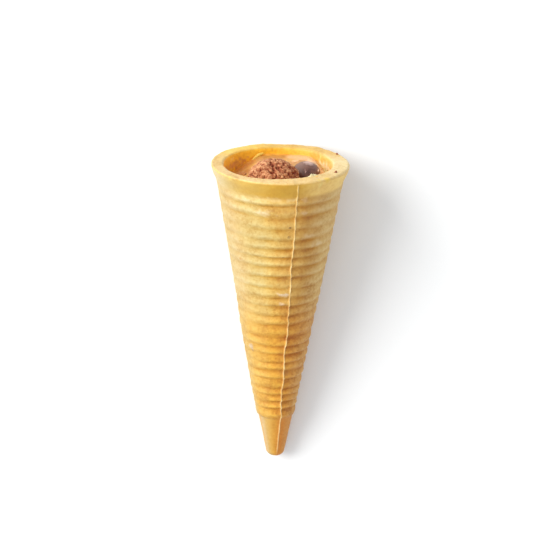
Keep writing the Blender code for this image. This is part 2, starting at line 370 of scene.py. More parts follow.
crust = {
    # baked colour and painted light round the cone: direction and screen colour
    # the outside rows carry painted light too: the lit left side is painted paler as highlight, the right
    # edge paler as sheen and the tip's right side browner as shade
    "upper": ((-65, 182, 158, 104), (-50, 186, 158, 102), (-31, 189, 162, 95), (-19, 195, 167, 98),
              (-8, 202, 165, 84), (2, 205, 161, 76), (15, 206, 157, 73), (27, 190, 141, 63),
              (40, 196, 152, 82), (58, 203, 166, 98), (120, 200, 158, 90), (180, 196, 152, 80)),
    "lower": ((-65, 184, 151, 82), (-50, 192, 149, 65), (-31, 197, 149, 58), (-19, 199, 148, 56),
              (-8, 206, 151, 49), (2, 209, 148, 43), (15, 205, 141, 43), (27, 199, 133, 40),
              (40, 201, 140, 58), (58, 198, 143, 69), (120, 196, 142, 66), (180, 192, 140, 60)),
    "neck": ((-64, 188, 168, 122), (-48, 184, 158, 96), (-30, 185, 149, 66), (-7, 195, 147, 44),
             (3, 194, 146, 42), (14, 203, 155, 54), (27, 222, 180, 92), (40, 233, 192, 108),
             (60, 236, 198, 112), (120, 206, 164, 90), (180, 196, 152, 72)),
    "tip": ((-120, 190, 140, 62), (-75, 192, 144, 70), (-48, 187, 158, 108), (-37, 187, 151, 84),
            (-24, 193, 149, 68), (-6, 200, 144, 50), (3, 202, 139, 42), (22, 201, 122, 32),
            (44, 204, 135, 52), (120, 200, 140, 64), (180, 190, 138, 60)),
    "land": ((-135, 232, 190, 88), (-90, 204, 171, 105), (-45, 212, 178, 118), (0, 213, 177, 113),
             (45, 208, 176, 112), (90, 217, 194, 140), (135, 210, 170, 92), (180, 210, 171, 80)),
    # the inner wall is painted bright and saturated to stand in for light shining through the thin wafer, a
    # painted glow
    "inside": ((-135, 250, 186, 40), (-90, 250, 180, 54), (0, 220, 170, 60), (85, 230, 183, 110),
               (112, 232, 171, 82), (135, 212, 160, 66), (180, 236, 180, 40)),
    # where one zone's colour gives way to the next
    "lowerDepths": (34, 50),
    "neckStarts": (0.2, 0.8),
    "neckEnds": (4.0, 5.6),
    "tipDepths": (76.6, 77.8),
    "landDepths": (0.10, 0.65),
    "zoneWander": (6, 7, 51),
    "blotchEdge": (0.8, 0.9, 52),
    "crest": (1.08, 1.17, 1.48),  # how much paler the crests are: partly their own colour, partly painted highlight
    "groove": (0.86, 0.72, 0.42),  # and how much browner the grooves: partly browning, partly painted shade
    "grooveDarkness": (3.2, 0.9, 53),  # how unevenly the grooves darken
    # painted shade in the hollows of the wrinkles
    "wrinkleShade": 0.35,
    # the flash is painted paler, partly its own colour and partly painted highlight along the ridge
    "flash": (228, 202, 142),
    "flashShare": 0.8,
    "darkGrain": (0.73, 0.57, 0.30, 1.0),
    "paleGrain": (1.13, 1.27, 1.60, 1.0),
    # how grainy it is: direction and share
    "upperGrain": ((-120, 0.65), (-60, 0.58), (-10, 0.78), (35, 0.76), (90, 0.72), (180, 0.72)),
    "lowerGrain": ((-120, 0.68), (-60, 0.66), (-10, 0.84), (35, 1.0), (60, 1.0), (90, 0.80), (180, 0.72)),
    "lowerGrainDepths": (20, 45),
    "insideGrain": 0.6,
    "calm": 0.5,  # how much calmer the neck and the tip are
    "calmNeck": (4.2, 6.4),
    "calmTip": (76.0, 78.5),
    "patch": 5,  # sizes of the grain and of the surface's unevenness
    "freckle": 0.9,
    "pore": 0.35,
    "ripple": 1.2,
    "bump": 0.27 * mm,
    "speckEdge": 0.2 * mm,
    "roughness": 0.62,
}

# specks baked into the wafer: direction, depth and radius in mm, strength and colour;
# a negative depth is a place on the lip's flat face, counted in from its edge
waferSpecks = (
    (11.1, 14.3, 0.30, 0.8, 110, 66, 35),
    (10.6, 17.2, 0.34, 0.9, 96, 56, 36),
    (5.3, 23.9, 0.34, 0.6, 120, 75, 40),
    (-1.4, 10.5, 0.26, 0.6, 150, 95, 45),
    (-47, 55.6, 0.40, 0.6, 150, 110, 70),
    (-48.9, 26.1, 0.36, 0.6, 176, 120, 40),
    (-45, 26.0, 0.26, 0.5, 176, 120, 40),
    (-62, 48.5, 0.34, 0.5, 170, 112, 40),
    (-93, -2.1, 0.28, 0.7, 190, 140, 50),
    (-98, -1.3, 0.22, 0.6, 190, 140, 50),
    (-52, -2.6, 0.24, 0.5, 190, 140, 60),
    (172, -1.2, 0.26, 0.5, 190, 130, 50),
    (43, -0.2, 0.9, 0.6, 232, 192, 66),
    (35, 0.3, 0.7, 0.5, 232, 198, 76),
    (-46, 0.6, 0.7, 0.5, 206, 186, 84),
)

# pale or brown blotches: direction, depth, half width and half height in mm, strength and colour
waferBlotches = (
    (-9.5, 9.9, 2.4, 0.9, 0.32, 226, 204, 164),
    (-4, 5.5, 6.0, 0.55, 0.35, 226, 200, 140),
    (-32, 6.6, 3.0, 0.8, 0.25, 214, 194, 145),
    (22.5, 5.6, 1.2, 0.7, 0.18, 226, 200, 170),
    (22.5, 9.9, 1.2, 0.7, 0.18, 226, 200, 170),
    (31.6, 17.6, 1.8, 0.8, 0.18, 222, 196, 150),
    (47, 21.0, 2.2, 1.5, 0.18, 222, 196, 150),
    (7, 36.0, 1.4, 0.6, 0.40, 232, 208, 176),
    (8.5, 38.9, 1.1, 0.6, 0.40, 232, 208, 176),
    (-52, 54.3, 0.9, 0.7, 0.65, 178, 158, 132),
    (36, 1.6, 0.45, 1.6, 0.45, 228, 208, 130),
    (6, 9.2, 2.4, 0.7, 0.45, 184, 128, 52),
    (30, 12.0, 2.4, 0.6, 0.35, 170, 116, 52),
    (26, 30.2, 2.6, 0.8, 0.35, 164, 106, 46),
    (10, 31.0, 2.4, 0.5, 0.40, 168, 112, 44),
    (24, 62.0, 1.8, 0.8, 0.35, 150, 96, 52),
)

# streaks on the inner wall, with painted shade and light, the same way
wallStreaksShadeAndLight = (
    (-125, 1.5, 0.7, 0.8, 0.5, 252, 206, 110),
    (-121, 1.8, 0.5, 0.8, 0.4, 252, 206, 110),
    (130, 0.9, 0.5, 0.8, 0.5, 255, 226, 130),
    (147, 1.0, 0.7, 0.6, 0.35, 236, 150, 60),
    # painted shade at the foot of the shaded left wall, next to the cream
    (-108, 4.4, 7.0, 1.7, 0.6, 220, 145, 72),
    (-128, 3.6, 5.0, 1.4, 0.6, 208, 130, 70),
    # painted light on the right wall beside the chocolate ball, where the ball's shadow falls
    (118, 3.3, 4.5, 1.7, 0.75, 234, 212, 164),
)


def makeWaferMaterial():
    settings = {"Roughness": crust["roughness"], "Specular IOR Level": 0.45}
    material, tree, shader = newMaterial("bakedWafer", settings)
    patches = grain(tree, crust["patch"], detail=4, distortion=0.5)
    freckles = grain(tree, crust["freckle"], detail=3, roughness=0.65)
    uneven = weighed(tree, (patches, 0.45), (freckles, 0.55))
    tint = ramp(tree, uneven, ((0.34, crust["darkGrain"]), (0.50, (1.0, 1.0, 1.0, 1.0)),
                               (0.66, crust["paleGrain"])))
    rough = mark(tree, "rough")
    base = blend(tree, rough, mark(tree, "baked", "Color"), tint, "MULTIPLY")
    edge = crust["speckEdge"]
    ragged = remap(tree, grain(tree, 0.6), -edge, edge)
    for degrees, depth, radius, strength, *shade in waferSpecks:
        azimuth = radians(degrees)
        out = bodyRadius(depth * mm) if depth > 0 else cone["lipRadius"] + depth * mm
        where = toRow(out * sin(azimuth), out * cos(azimuth), max(depth * mm, 0.0))
        base = spot(tree, base, where, ragged, radius * mm, shade, strength)
    pores = grain(tree, crust["pore"], detail=2)
    ripples = grain(tree, crust["ripple"], detail=3)
    height = combine(tree, "MULTIPLY", weighed(tree, (pores, 0.5), (ripples, 1.0)), rough)
    dress(tree, shader, base, height, crust["bump"], 0.8)
    return material


wafer = {
    "halfColumns": 118,  # round the cone, between the two seams
    "bodyRow": 0.27 * mm,
    # rows of each part, from the bottom of the cavity over the lip to the tip
    "rows": {"cavity": 12, "wall": 24, "mouthEdge": 8, "land": 14, "lipEdge": 10, "flare": 20, "step": 9,
             "tip": 34, "end": 9},
    "wallDepth": 8.6 * mm,  # the fine rows of the wall reach down to here
    "hiddenDepth": 8 * mm,  # under the cream the wall is plain
    "floorRise": 1.6 * mm,
    "flareSwell": 0.3 * rings["rise"],
    "flareEasing": 0.65,
    "bulges": (13, 0.16 * mm, 41),
    "tipBulges": 0.6,  # how much weaker they get toward the tip
    "lumps": ((3.1, 0.06 * mm, 42), (0.9, 0.03 * mm, 43)),
    "wrinkle": 0.07 * mm,  # short wrinkles that run along the rings
    "wrinkleSize": 1.0 * mm,
    "wrinkleStretch": (0.3, 0.3, 1.0),
    "ragged": ((3.6, 0.14 * mm, 44), (1.3, 0.07 * mm, 45)),  # unevenness of the lip
    "raggedDepths": (0.5, 2.5),
}


def roundedEdge(centreRadius, radius, start, end, count):
    # an arc that touches the mouth's plane
    angle = np.radians(np.linspace(start, end, count))
    return np.stack((centreRadius + radius * np.cos(angle), radius - radius * np.sin(angle)), 1)


def easedPath(first, last, easing, count):
    # from one place to the next in even steps of depth; full easing makes an S of it
    share = np.linspace(0, 1, count)[1:]
    curve = share + easing * (smooth(0, 1, share) - share)
    return np.stack((first[0] + (last[0] - first[0]) * curve, first[1] + (last[1] - first[1]) * share), 1)


def shiftShare(depth):
    return 1 - fade(cone["shiftDepths"], depth)


def waferPath():
    # radius and depth from the bottom of the cavity, over the lip and down the outside to the tip,
    # and how much of the mouth's shift each place takes
    rows = wafer["rows"]
    bottom = cone["cavityDepth"] - wafer["floorRise"]
    deep = np.linspace(bottom, wafer["wallDepth"] + 0.4 * mm, rows["cavity"])
    near = np.linspace(wafer["wallDepth"], cone["mouthEdge"] * 1.15, rows["wall"])
    inside = np.concatenate((deep, near))
    inner = np.stack((np.maximum(innerRadius(inside), cone["cavityEndRadius"]), inside), 1)
    floor = np.linspace((0.25 * mm, cone["cavityDepth"]), (1.3 * mm, cone["cavityDepth"] - 0.5 * mm), 3)
    mouthEdge = roundedEdge(cone["mouthRadius"] + cone["mouthEdge"], cone["mouthEdge"], 180, 90,
                            rows["mouthEdge"])
    land = np.linspace(mouthEdge[-1], (lipTube, 0.0), rows["land"])[1:-1]
    lipEdge = roundedEdge(lipTube, cone["lipEdge"], 90, -20, rows["lipEdge"])
    flareEnd = bodyRadius(cone["flareDepth"]) + wafer["flareSwell"], cone["flareDepth"]
    flare = easedPath(lipEdge[-1], flareEnd, wafer["flareEasing"], rows["flare"])
    down = np.arange(cone["flareDepth"] + wafer["bodyRow"], cone["bodyEndDepth"] + 0.1 * mm, wafer["bodyRow"])
    body = np.stack((bodyRadius(down), down), 1)
    stepEnd = cone["stepRadius"], cone["stepDepth"]
    step = easedPath(body[-1], stepEnd, 1.0, rows["step"])
    tipEnd = cone["length"] - cone["tipRound"]
    tip = np.linspace(stepEnd, (cone["tipRadius"], tipEnd), rows["tip"])[1:]
    angle = np.radians(np.linspace(8, 84, rows["end"]))
    end = np.stack((cone["tipRadius"] * np.cos(angle), tipEnd + cone["tipRound"] * np.sin(angle)), 1)
    outer = np.concatenate((lipEdge, flare, body, step, tip, end))
    path = np.concatenate((floor, inner, mouthEdge, land, outer))
    shifted = np.concatenate((shiftShare(floor[:, 1]), shiftShare(inner[:, 1]), np.ones(len(mouthEdge)),
                              np.linspace(1, 0, len(land) + 2)[1:-1], np.zeros(len(outer))))
    return path, shifted


def seamColumns(radius):
    # distance from the seam round each half: fine beside both seams, even between them
    half = pi * radius
    fine = seam["columns"] * min(1.0, half / (10 * seam["columns"][-1]))
    between = np.linspace(fine[-1], half - fine[-1], wafer["halfColumns"] - 2 * len(fine) + 3)
    return np.concatenate((fine[:-1], between, half - fine[-2:0:-1]))


def waferColumns(radius, depth):
    # azimuth of each place, and its distance from the nearer seam
    halves = np.stack([seamColumns(value) for value in radius[:, 0]])
    toSeam = np.minimum(halves, pi * radius - halves)
    sway = layered(depth * (1.0, 0.0, 0.0), *seam["wander"])
    azimuth = np.concatenate((halves / radius, pi + halves / radius), 1)
    azimuth = azimuth + seam["azimuth"] + sway[:, None] / np.maximum(radius, 2 * mm)
    return azimuth, np.concatenate((toSeam, toSeam), 1)


def ringShape(depth, shares):
    # 1 on a crest and 0 in a groove, and which ring a place belongs to
    middles = np.array([ringDepth(index) for index in range(rings["count"] + 1)])
    pitches = np.diff(middles)
    grooves = middles[:-1] + 0.5 * pitches
    crests = grooves - shares * pitches
    ring = np.clip(np.searchsorted(grooves, depth), 0, rings["count"] - 1)
    below = depth > crests[ring]
    above = np.where(ring > 0, crests[ring] - grooves[ring - 1], rings["firstReach"])
    reach = np.where(below, grooves[ring] - crests[ring], above)
    away = np.clip(np.abs(depth - crests[ring]) / reach, 0, 1)
    rounded = 0.5 + 0.5 * np.cos(pi * away)
    return np.where(below, rounded, rounded + rings["ridge"] * (1 - away - rounded)), ring


def ringRelief(where, depth, azimuth, degrees, outside):
    # how far the rings stand out; for the colours, 1 on a crest and 0 in a groove, each ring's
    # own height, and how strongly it shows
    spread = np.random.default_rng(rings["seed"])
    heights = 1 + rings["heightSpread"] * spread.uniform(-1, 1, rings["count"])
    shares = spread.uniform(*rings["steepSide"], rings["count"])
    columns = azimuth.shape[1]
    mould = np.where(np.arange(columns) < columns // 2, -1.0, 1.0) * rings["mouldShift"]
    moved = depth + layered(where, *rings["wander"]) + mould
    ring = ringShape(moved, shares)[1]
    across, along = rings["ownScale"]
    own = np.stack((across * np.sin(azimuth), across * np.cos(azimuth), along * ring), -1)
    profile, ring = ringShape(moved + layered(own, rings["ownWander"]), shares)
    late, *place = rings["late"]
    started = fade(rings["starts"], depth - late * bump(degrees, *place))
    ringed = started * (1 - fade(rings["ends"], depth)) * outside * around(rings["strength"], degrees)
    growth = (around(rings["tipward"], degrees) - 1) * fade(rings["tipwardDepths"], depth)
    ringed = ringed * (1 + growth)
    height = heights[ring] * np.clip(1 + layered(own, rings["patches"]), 0.15, 1.8)
    grit = 1 + layered(where, rings["grit"])
    relief = ((rings["rise"] + rings["fall"]) * profile - rings["fall"]) * height * grit * ringed
    return relief, profile, height, ringed


def seamShare(where, depth, toSeam, outside):
    # 1 on the line of flash where it is full
    strength = fade(seam["starts"], depth) * (1 - fade(seam["ends"], depth)) * outside
    strength = strength * np.clip(0.85 + layered(where, seam["beads"]), 0, 1.3)
    return strength * np.exp(-(toSeam / seam["halfWidth"]) ** 2)


def makeWafer():
    path, shifted = waferPath()
    direction = np.gradient(path, axis=0)
    direction /= np.linalg.norm(direction, axis=1)[:, None]
    normal = np.stack((direction[:, 1], -direction[:, 0]), 1)
    radius = path[:, :1]
    depth = path[:, 1:]
    outside = np.zeros((len(path), 1))
    outside[int(np.argmax(path[:, 0])):] = 1.0
    azimuth, toSeam = waferColumns(radius, depth)
    degrees = np.degrees((azimuth + pi) % tau - pi)
    right = np.sin(azimuth)
    above = np.cos(azimuth)
    where = np.stack((radius * right, radius * above, depth + 0 * right), -1)
    relief, profile, height, ringed = ringRelief(where, depth, azimuth, degrees, outside)

    # flash stands proud of the crests
    flash = seamShare(where, depth, toSeam, outside)
    proud = seam["rise"] * (1 - seam["flatter"] * fade(seam["flatterDepths"], depth))
    crest = rings["rise"] * ringed
    relief = relief + (crest - relief) * (1 - seam["onRings"]) * flash + proud * flash

    # unevenness of the baked surface
    tipward = smooth(0, 1, depth / cone["length"])
    relief = relief + (1 - wafer["tipBulges"] * tipward) * layered(where, wafer["bulges"])
    relief = relief + layered(where, *wafer["lumps"])
    wrinkle = softNoise(where * wafer["wrinkleStretch"], wafer["wrinkleSize"], 46) * np.clip(ringed, 0, 1)
    lip = 1 - fade(wafer["raggedDepths"], depth)
    relief = relief + wafer["wrinkle"] * wrinkle + lip * layered(where, *wafer["ragged"])
    relief = np.where((depth > wafer["hiddenDepth"]) & (outside < 0.5), 0.0, relief)
    radial = radius + normal[:, :1] * relief
    deep = depth + normal[:, 1:] * relief
    bent = cone["tipShift"] * smooth(cone["tipShiftFrom"], 1.0, depth / cone["length"]) * outside
    grid = toMouth(radial * right + bent, radial * above, deep, shifted[:, None])
    grid[..., 2] = np.maximum(grid[..., 2], 0.0)

    # colours: zones and blotches, paler crests that are partly painted highlight, browner grooves that are
    # partly painted shade, painted shade in the wrinkles' hollows, and the pale flash that is partly painted
    # highlight
    height = np.clip(height * ringed, 0, 1.2)
    shade = waferShade(depth, degrees + layered(where, crust["zoneWander"]), outside, where)
    shade = tinted(shade, profile ** 4 * height, shade * crust["crest"])
    grooveDarkening = (1 - profile) ** 3 * height * np.clip(1 + layered(where, crust["grooveDarkness"]), 0.25, 1.8)
    grooveDarkening = np.clip(grooveDarkening + crust["wrinkleShade"] * np.clip(-wrinkle, 0, 1), 0, 1.5)
    shade = tinted(shade, grooveDarkening, shade * crust["groove"])
    shade = tinted(shade, crust["flashShare"] * flash, tone(crust["flash"]))
    marks = {"baked": np.clip(shade, 0, 1), "rough": waferGrain(depth, degrees, outside)}
    poles = toRow(0.0, 0.0, cone["cavityDepth"]), toRow(0.0, 0.0, cone["length"])
    return turnedPiece("wafer", grid, *poles, makeWaferMaterial(), marks)


def waferShade(depth, degrees, outside, where):
    # baked colour and painted light of each place: zones along the cone, then the blotches and wall streaks
    depth = depth + 0 * degrees
    neck = fade(crust["neckStarts"], depth) * (1 - fade(crust["neckEnds"], depth))
    zones = (("lower", fade(crust["lowerDepths"], depth)),
             ("neck", neck * outside),
             ("tip", fade(crust["tipDepths"], depth) * outside),
             ("inside", 1 - outside),
             ("land", 1 - fade(crust["landDepths"], depth)))
    shade = roundColour(crust["upper"], degrees)
    for zone, share in zones:
        shade = tinted(shade, share, roundColour(crust[zone], degrees))
    across = np.hypot(where[..., 0], where[..., 1])
    marked = [(outside, blotch) for blotch in waferBlotches]
    marked += [(1 - outside, streak) for streak in wallStreaksShadeAndLight]
    for side, (turn, middle, halfWidth, halfHeight, strength, *other) in marked:
        away = np.radians((degrees - turn + 180) % 360 - 180)
        gap = np.hypot(away * across / (halfWidth * mm), (depth - middle * mm) / (halfHeight * mm))
        share = strength * (1 - smooth(0.5, 1.3, gap + layered(where, crust["blotchEdge"])))
        shade = tinted(shade, share * side, tone(other))
    return shade


def waferGrain(depth, degrees, outside):
    # the neck and the tip are calmer than the ringed part
    calm = np.maximum(1 - fade(crust["calmNeck"], depth), fade(crust["calmTip"], depth))
    upper = around(crust["upperGrain"], degrees)
    lower = around(crust["lowerGrain"], degrees)
    rough = upper + fade(crust["lowerGrainDepths"], depth) * (lower - upper)
    return np.where(outside > 0.5, rough * (1 - crust["calm"] * calm), crust["insideGrain"])


waferPiece = makeWafer()
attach(waferPiece, "root")
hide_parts("wafer_cone")
print("wafer cone:", len(waferPiece.data.polygons), "faces")


def boxCentre(node):
    low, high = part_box(node)
    return np.array((low + high) / 2)


# the balls' places come from the solids
cereal = {
    "centre": boxCentre("cereal_ball") + 0.2 * mm * rightward,
    "radii": (7.15 * mm, 6.6 * mm, 5.35 * mm),  # right, above and along the cone
    "lumps": ((3.6, 0.30 * mm, 54), (1.7, 0.18 * mm, 55)),
    "bend": 0.8 * mm,  # how much the cracks wind
    "bendSize": 2.2 * mm,
    "crease": 0.46 * mm,
    "creases": (2.0, 0.26, 53),  # size, width and seed
    "creased": (3.4, 1.0, 56),
    "fineCrease": 0.17 * mm,
    "fineCreases": (0.8, 0.38, 60),
    "pit": 0.6 * mm,
    "pits": (1.2, 1.0, 57),
    "crumble": 0.26 * mm,
    "granules": ((0.6, 0.6, 58), (0.33, 0.4, 59)),
    # painted shade: how much the creases, pits, fine creases and holes are darkened, and the granules
    # lightened
    "darkening": (0.6, 0.7, 0.30, 1.0, -0.40),  # of creases, pits, fine creases, holes and granules
    # painted shade on the right side, away from the key light
    "rightShade": 0.16,
    "paintedShadeStrength": 0.70,
    "dark": (128, 54, 26),
    "mid": (160, 97, 59),
    "light": (224, 169, 120),
    "fleck": 0.55,
    "patch": 2.6,
    "bump": 0.22 * mm,
    "hole": 0.5 * mm,
    # its deeper holes: right, above and outward direction, and radius in mm
    "holes": (
        ((-0.05, 0.46, 0.89), 0.40), ((-0.01, 0.66, 0.75), 0.42), ((-0.09, 0.82, 0.56), 0.45),
        ((-0.45, 0.34, 0.82), 0.30), ((-0.84, 0.36, 0.40), 0.36), ((0.12, 0.58, 0.80), 0.26),
        ((0.24, 0.52, 0.82), 0.28), ((0.35, 0.50, 0.79), 0.26), ((0.41, 0.24, 0.88), 0.28),
        ((0.54, 0.28, 0.79), 0.26), ((0.67, 0.25, 0.70), 0.26), ((0.60, 0.65, 0.46), 0.34),
    ),
}


def roundPoints(subdivisions):
    ball = bmesh.new()
    bmesh.ops.create_icosphere(ball, subdivisions=subdivisions, radius=1.0)
    ball.verts.index_update()
    points = np.array([vertex.co for vertex in ball.verts])
    faces = [[vertex.index for vertex in face.verts] for face in ball.faces]
    ball.free()
    return points, faces


def turnIntoRow(directions, radii, centre):
    # unit directions along the cone's own axes (right, above, outward) to the points of a ball
    return centre + directions * radii @ axes


def cracks(points, size, width, seed):
    # 1 along winding lines and 0 between them
    return 1 - smooth(0.0, width, np.abs(softNoise(points, size * mm, seed)))


def makeCerealBall():
    directions, faces = roundPoints(7)
    radii = np.array(cereal["radii"])
    points = directions * radii
    bend = np.stack([softNoise(points, cereal["bendSize"], 50 + axis) for axis in range(3)], 1)
    bent = points + cereal["bend"] * bend
    crease = cracks(bent, *cereal["creases"]) * smooth(-0.35, 0.45, layered(points, cereal["creased"]))
    fine = cracks(bent, *cereal["fineCreases"])
    pit = smooth(0.36, 0.70, layered(bent, cereal["pits"]))
    granular = layered(points, *cereal["granules"])
    hole = 0
    for direction, radius in cereal["holes"]:
        gap = np.linalg.norm(points + 0.3 * mm * bend - np.array(direction) * radii, axis=1) / mm
        hole = np.maximum(hole, 1 - smooth(0.5 * radius, 1.6 * radius, gap))
    rise = layered(points, *cereal["lumps"]) - cereal["crease"] * crease - cereal["pit"] * pit
    rise = rise - cereal["fineCrease"] * fine + cereal["crumble"] * granular - cereal["hole"] * hole
    grown = directions * (1 + rise[:, None] / radii.mean())
    # painted shade in creases, pits and holes and on the right side
    paintedShade = np.stack((crease, pit, fine, hole, granular), 1) @ cereal["darkening"]
    paintedShade = paintedShade + cereal["rightShade"] * smooth(-0.3, 0.8, directions[:, 0])
    points = turnIntoRow(grown, radii, cereal["centre"])
    return newPiece("cerealBall", points, faces, makeCerealMaterial(), {"paintedShade": np.clip(paintedShade, 0, 1)})


def makeCerealMaterial():
    material, tree, shader = newMaterial("puffedCereal", {"Roughness": 0.75, "Specular IOR Level": 0.35})
    fleck = grain(tree, cereal["fleck"], detail=4, roughness=0.7)
    patch = grain(tree, cereal["patch"], detail=2)
    shade = remap(tree, weighed(tree, (fleck, 0.9), (patch, 0.4)), 0.22, 1.0, 0.42, 0.86)
    # the painted shade darkens the colour
    shade = weighed(tree, (shade, 1.0), (mark(tree, "paintedShade"), -cereal["paintedShadeStrength"]))
    base = ramp(tree, shade, ((0.0, colour(*cereal["dark"])), (0.45, colour(*cereal["mid"])),
                              (0.9, colour(*cereal["light"]))))
    height = combine(tree, "ADD", grain(tree, 0.3, detail=3), grain(tree, 0.8))
    dress(tree, shader, base, height, cereal["bump"], 0.5)
    return material


chocolate = {
    "centre": boxCentre("chocolate_ball"),
    "radius": 4.4 * mm,
    "dents": ((3.2, 0.09 * mm, 61), (1.1, 0.027 * mm, 62)),
    "dark": (82, 46, 35),
    "bloom": (122, 84, 70),
    "cloud": 2.2,
    "roughness": (0.36, 0.52),
    "bump": 0.05 * mm,
    # cream left on it, and painted light: right, above and outward direction, radius in mm, strength and
    # colour
    "smearsAndHighlights": (
        # a cream film on top, with a painted highlight
        ((0.17, 0.06, 0.98), 1.2, 0.72, 216, 182, 168),
        # painted light on the lit upper-left side
        ((-0.43, 0.35, 0.83), 1.7, 0.35, 156, 124, 110),
        ((0.79, 0.28, 0.54), 0.30, 1.0, 250, 226, 214),
        ((-0.04, 0.80, 0.60), 0.22, 0.7, 196, 156, 146),
    ),
    "smearAndHighlightEdge": 0.5 * mm,
}


def makeChocolateBall():
    directions, faces = roundPoints(6)
    rise = layered(directions * chocolate["radius"], *chocolate["dents"])
    grown = directions * (1 + rise[:, None] / chocolate["radius"])
    points = turnIntoRow(grown, (chocolate["radius"],) * 3, chocolate["centre"])
    return newPiece("chocolateBall", points, faces, makeChocolateMaterial())


def makeChocolateMaterial():
    material, tree, shader = newMaterial("chocolateShell", {"Specular IOR Level": 0.5})
    cloud = grain(tree, chocolate["cloud"], detail=4, distortion=0.6)
    base = ramp(tree, cloud, ((0.32, colour(*chocolate["dark"])), (0.68, colour(*chocolate["bloom"]))))
    edge = chocolate["smearAndHighlightEdge"]
    ragged = remap(tree, grain(tree, 0.7), -edge, edge)
    # cream smears, a painted highlight on top and painted light on the upper-left side
    for direction, radius, strength, *shade in chocolate["smearsAndHighlights"]:
        where = chocolate["centre"] + chocolate["radius"] * np.array(direction) @ axes
        base = spot(tree, base, where, ragged, radius * mm, shade, strength)
    tree.links.new(remap(tree, cloud, *chocolate["roughness"]), shader.inputs["Roughness"])
    dress(tree, shader, base, grain(tree, 0.6, detail=3), chocolate["bump"], 0.5)
    return material


for piece, node, slot in ((makeCerealBall(), "cereal_ball", "cereal"),
                          (makeChocolateBall(), "chocolate_ball", "chocolate")):
    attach(piece, "root")
    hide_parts(node)
    print(piece.name + ":", len(piece.data.polygons), "faces")

cream = {
    "depth": 2.2 * mm,  # under the mouth, along the middle
    "fallLeft": (4.0, 14.2, 3.5),  # from here to here it falls away, and by how much, in mm
    "fallRight": (9.5, 15.0, 2.2),
    "swells": ((5, 0.15 * mm, 71), (1.6, 0.06 * mm, 72)),
    "rimRise": 0.12 * mm,  # it climbs the wall a little
    "rimReach": 0.4 * mm,
    "intoWall": 0.5 * mm,
    "columns": 220,
    "rows": 110,
    "wallRows": 14,
    "base": (210, 157, 82),
    "deep": (190, 132, 64),
    "pale": (232, 186, 142),
    "drawnUp": (0.12, 0.6),  # cream drawn up this far turns pale
    "moundEdge": (0.9, 0.15, 73),
    "swirls": ((3.4, 1.0, 74), (1.2, 0.4, 75)),
    # along the wall: direction and colour; the browner left stops are painted shade from the left wall, the
    # pale right stops painted light beside the chocolate ball
    "edge": ((-135, 222, 150, 60), (-90, 212, 140, 62), (-60, 202, 133, 68), (0, 210, 150, 90),
             (90, 238, 220, 168), (120, 242, 220, 150), (150, 246, 200, 110), (180, 238, 172, 70)),
    "edgeWidth": (0.2, 1.8),
    "edgeWander": (1.4, 0.5 * mm, 76),
    "streak": 1.6,
    "roughness": (0.30, 0.48),
    "bump": 0.08 * mm,
}

# cream drawn up round the balls: ball, height, width, direction of its thickest side, and how
# one-sided it is
collars = (
    (cereal["centre"], cereal["radii"], 0.5 * mm, 0.5 * mm, -120, 0.7),
    (chocolate["centre"], (chocolate["radius"],) * 3, 1.5 * mm, 1.1 * mm, 105, 0.95),
)

# mounds of pale cream behind the chocolate ball, then hollows: right, above, height, reach
mounds = (
    (4.8, -13.2, 0.20, 2.6),
    (7.8, -12.0, 0.30, 2.8),
    (5.0, -8.6, 0.30, 1.1),
    (9.8, -9.2, 0.25, 1.8),
)
hollows = (
    (8.4, 3.4, 2.3, 4.4),
    (13.4, -1.0, 0.6, 3.0),
)

# tinted places of the surface: right, above, reach, strength and colour; the first is painted shade from the
# left wall, the last painted light between the chocolate ball and the right wall
creamShadeAndTints = (
    (-9.6, -9.4, 3.0, 0.75, 190, 120, 64),
    (-11.2, -4.6, 1.5, 0.6, 204, 146, 108),
    (-9.6, -3.0, 1.2, 0.6, 176, 108, 72),
    (12.6, -4.0, 2.4, 0.85, 238, 218, 172),
)


def nearness(right, above, placeRight, placeAbove, reach):
    return bump(np.hypot(right - placeRight * mm, above - placeAbove * mm), 0, reach * mm)


def creamDepth(right, above):
    # level of the surface, and how much pale cream is drawn up there
    flat = np.stack((right, above, 0 * right), -1)
    level = cream["depth"] + layered(flat, *cream["swells"])
    for side, fall in ((-right, "fallLeft"), (right, "fallRight")):
        *reach, drop = cream[fall]
        level = level + drop * mm * fade(reach, side)
    for *place, drop, reach in hollows:
        level = level + drop * mm * nearness(right, above, *place, reach)
    raised = 0 * level
    for collar in collars:
        raised = raised + collarHeight(right, above, level, *collar)
    pale = 0.8 * fade(cream["drawnUp"], raised)
    for *place, height, reach in mounds:
        near = nearness(right, above, *place, reach)
        raised = raised + height * mm * near
        pale = pale + 0.9 * smooth(0.15, 0.7, near + layered(flat, cream["moundEdge"]))
    rim = np.maximum(innerRadius(level) - np.hypot(right, above), 0)
    raised = raised + cream["rimRise"] * np.exp(-rim / cream["rimReach"])
    return level - raised, np.clip(pale, 0, 1)


def collarHeight(right, above, level, centre, radii, height, width, degrees, oneSided):
    ballRight, ballAbove, ballDepth = fromRow(centre)
    inside = np.sqrt(np.clip(1 - ((ballDepth - level) / radii[2]) ** 2, 0, 1))
    awayRight = (right - ballRight) / radii[0]
    awayAbove = (above - ballAbove) / radii[1]
    away = np.maximum(np.hypot(awayRight, awayAbove), 1e-6)
    gap = np.maximum(away - inside, 0) * radii[0]
    turn = radians(degrees)
    facing = (awayRight * sin(turn) + awayAbove * cos(turn)) / away
    side = 1 - oneSided + oneSided * (0.5 + 0.5 * facing) ** 2
    return height * side * np.exp(-(gap / width) ** 1.4)


